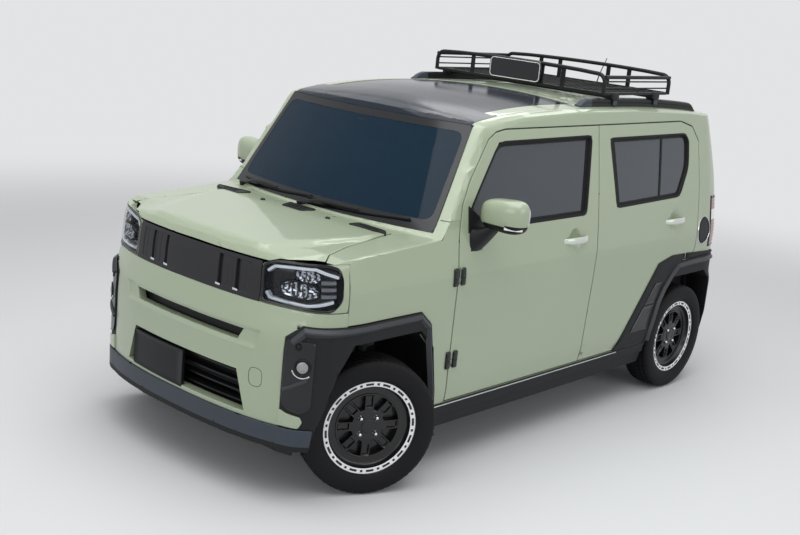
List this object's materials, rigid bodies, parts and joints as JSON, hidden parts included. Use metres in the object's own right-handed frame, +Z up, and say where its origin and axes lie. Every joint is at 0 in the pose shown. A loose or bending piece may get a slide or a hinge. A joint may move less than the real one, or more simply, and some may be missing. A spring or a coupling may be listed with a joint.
{
  "type": "kei car",
  "caption": "Small boxy passenger car with hinged doors, bonnet and tailgate, steered front wheels and a basket rack on its roof.",
  "frame": {"origin": "on the ground under the middle of the car's length and width", "axes": "+Z up, -Y is the direction in which the nose points, +X is the car's left side"},
  "size_m": [1.844, 3.395, 1.78],
  "materials": {
    "green_paint": "gloss",
    "gloss_black": "gloss",
    "dark_plastic": "matt",
    "slate_garnish": "satin",
    "tinted_glass": "tinted",
    "lamp_lens": "clear",
    "under_steel": "satin",
    "seat_fabric": "matt",
    "tyre_rubber": "matt",
    "rim_black": "black paint"
  },
  "bodies": {
    "body": {"bumper_lip": "slate_garnish", "corner_cladding_left": "dark_plastic", "corner_cladding_right": "dark_plastic", "cowl_panel": "dark_plastic", "dashboard": "dark_plastic", "engine_block": "under_steel", "exhaust": "under_steel", "fender_left": "green_paint", "fender_right": "green_paint", "floor_pan": "under_steel", "front_bumper": "green_paint", "front_seats": "seat_fabric", "front_subframe": "under_steel", "grille_panel": "gloss_black", "headlamp_left": "lamp_lens", "headlamp_right": "lamp_lens", "rear_axle": "under_steel", "rear_bumper": "dark_plastic", "rear_seat": "seat_fabric", "roof_glass": "gloss_black", "roof_panel": "green_paint", "roof_rack": "dark_plastic", "side_cladding_left": "dark_plastic", "side_cladding_right": "dark_plastic", "side_frame_left": "green_paint", "side_frame_right": "green_paint", "tail_lamp_left": "lamp_lens", "tail_lamp_right": "lamp_lens", "windscreen": "tinted_glass"},
    "bonnet": {"bonnet": "green_paint"},
    "tailgate": {"tailgate": "green_paint", "tailgate_glass": "tinted_glass"},
    "front_door_left": {"front_door_left": "green_paint", "front_door_glass_left": "tinted_glass"},
    "rear_door_left": {"rear_door_left": "green_paint", "rear_door_glass_left": "tinted_glass"},
    "knuckle_left": {"knuckle_left": "under_steel"},
    "front_wheel_left": {"tyre_front_left": "tyre_rubber", "rim_front_left": "rim_black"},
    "rear_wheel_left": {"tyre_rear_left": "tyre_rubber", "rim_rear_left": "rim_black"},
    "front_door_right": {"front_door_right": "green_paint", "front_door_glass_right": "tinted_glass"},
    "rear_door_right": {"rear_door_right": "green_paint", "rear_door_glass_right": "tinted_glass"},
    "knuckle_right": {"knuckle_right": "under_steel"},
    "front_wheel_right": {"tyre_front_right": "tyre_rubber", "rim_front_right": "rim_black"},
    "rear_wheel_right": {"tyre_rear_right": "tyre_rubber", "rim_rear_right": "rim_black"}
  },
  "joints": [
    {"name": "bonnet_hinge", "type": "hinge", "parent": "body", "child": "bonnet", "pos_m": [0, -1.016, 1.07], "axis": [-1, 0, 0], "range_deg": [0, 50]},
    {"name": "tailgate_hinge", "type": "hinge", "parent": "body", "child": "tailgate", "pos_m": [0, 1.545, 1.522], "axis": [1, 0, 0], "range_deg": [0, 82]},
    {"name": "front_door_left_hinge", "type": "hinge", "parent": "body", "child": "front_door_left", "pos_m": [0.727, -0.76, 0.7], "axis": [0, 0, -1], "range_deg": [0, 65]},
    {"name": "rear_door_left_hinge", "type": "hinge", "parent": "body", "child": "rear_door_left", "pos_m": [0.7287, 0.295, 0.7], "axis": [0, 0, -1], "range_deg": [0, 65]},
    {"name": "steer_left", "type": "hinge", "parent": "body", "child": "knuckle_left", "pos_m": [0.645, -1.2025, 0.298], "axis": [0, 0, 1], "range_deg": [-9.8, 62.2]},
    {"name": "front_wheel_left_spin", "type": "hinge", "parent": "knuckle_left", "child": "front_wheel_left", "pos_m": [0.65173, -1.20581, 0.298], "axis": [0.8973, -0.4415, 0], "continuous": true},
    {"name": "rear_wheel_left_spin", "type": "hinge", "parent": "body", "child": "rear_wheel_left", "pos_m": [0.6525, 1.2575, 0.298], "axis": [1, 0, 0], "continuous": true},
    {"name": "front_door_right_hinge", "type": "hinge", "parent": "body", "child": "front_door_right", "pos_m": [-0.727, -0.76, 0.7], "axis": [0, 0, 1], "range_deg": [0, 65]},
    {"name": "rear_door_right_hinge", "type": "hinge", "parent": "body", "child": "rear_door_right", "pos_m": [-0.7287, 0.295, 0.7], "axis": [0, 0, 1], "range_deg": [0, 65]},
    {"name": "steer_right", "type": "hinge", "parent": "body", "child": "knuckle_right", "pos_m": [-0.645, -1.2025, 0.298], "axis": [0, 0, 1], "range_deg": [-9.8, 62.2]},
    {"name": "front_wheel_right_spin", "type": "hinge", "parent": "knuckle_right", "child": "front_wheel_right", "pos_m": [-0.65173, -1.19919, 0.298], "axis": [0.8973, -0.4415, 0], "continuous": true},
    {"name": "rear_wheel_right_spin", "type": "hinge", "parent": "body", "child": "rear_wheel_right", "pos_m": [-0.6525, 1.2575, 0.298], "axis": [1, 0, 0], "continuous": true}
  ],
  "couplings": [
    {"joint": "steer_right", "follows": "steer_left", "ratio": 1}
  ]
}
